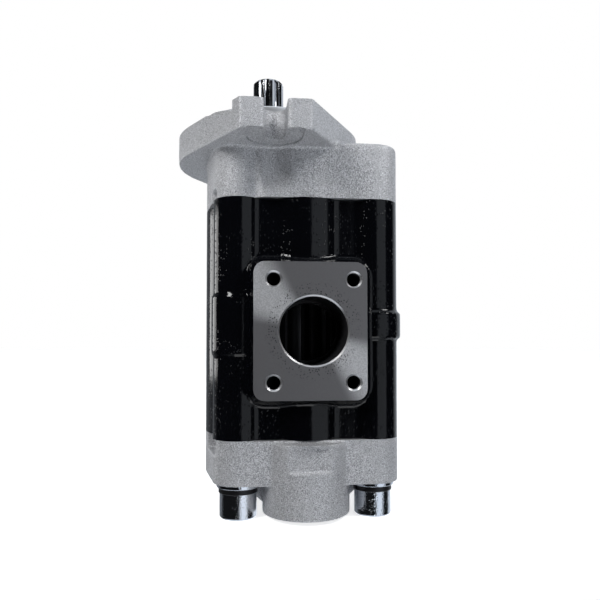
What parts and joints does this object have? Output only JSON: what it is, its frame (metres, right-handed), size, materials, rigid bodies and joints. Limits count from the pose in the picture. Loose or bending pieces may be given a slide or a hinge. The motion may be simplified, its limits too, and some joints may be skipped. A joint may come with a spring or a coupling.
{
  "type": "hydraulic gear pump",
  "caption": "Hydraulic gear pump with a splined shaft, a two-bolt pilot flange and flanged side ports.",
  "frame": {"origin": "shaft axis on the mounting face", "axes": "+Z out along the shaft, -Y towards the suction face, +X from the drive gear to the driven gear"},
  "size_m": [0.1561, 0.177, 0.3015],
  "materials": {
    "cast_aluminium": "as cast, satin",
    "black_paint": "gloss paint on cast iron",
    "gear_steel": "ground",
    "block_aluminium": "machined",
    "bush_bronze": "satin",
    "seal_rubber": "matte",
    "ring_plastic": "matte",
    "black_steel": "black oxide",
    "plated_steel": "zinc plated, bright"
  },
  "bodies": {
    "housing": {"front_cover": "cast_aluminium", "rear_cover": "cast_aluminium", "pump_body": "black_paint", "front_bearing_block": "block_aluminium", "rear_bearing_block": "block_aluminium", "front_drive_bush": "bush_bronze", "front_driven_bush": "bush_bronze", "rear_drive_bush": "bush_bronze", "rear_driven_bush": "bush_bronze", "front_block_seal": "seal_rubber", "rear_block_seal": "seal_rubber", "front_backup_ring": "ring_plastic", "rear_backup_ring": "ring_plastic", "front_body_seal": "seal_rubber", "rear_body_seal": "seal_rubber", "shaft_seal": "seal_rubber", "seal_garter_spring": "gear_steel", "seal_retaining_ring": "black_steel", "dowel_pins": "gear_steel", "cap_screws": "plated_steel", "spring_washers": "black_steel", "flat_washers": "plated_steel"},
    "drive_gear": {"drive_gear_shaft": "gear_steel"},
    "driven_gear": {"driven_gear_shaft": "gear_steel"}
  },
  "joints": [
    {"name": "drive_shaft_turn", "type": "hinge", "parent": "housing", "child": "drive_gear", "pos_m": [0, 0, 0], "axis": [0, 0, 1], "continuous": true},
    {"name": "driven_shaft_turn", "type": "hinge", "parent": "housing", "child": "driven_gear", "pos_m": [0.046, 0, 0], "axis": [0, 0, 1], "continuous": true}
  ],
  "couplings": [
    {"joint": "driven_shaft_turn", "follows": "drive_shaft_turn", "ratio": -1}
  ]
}
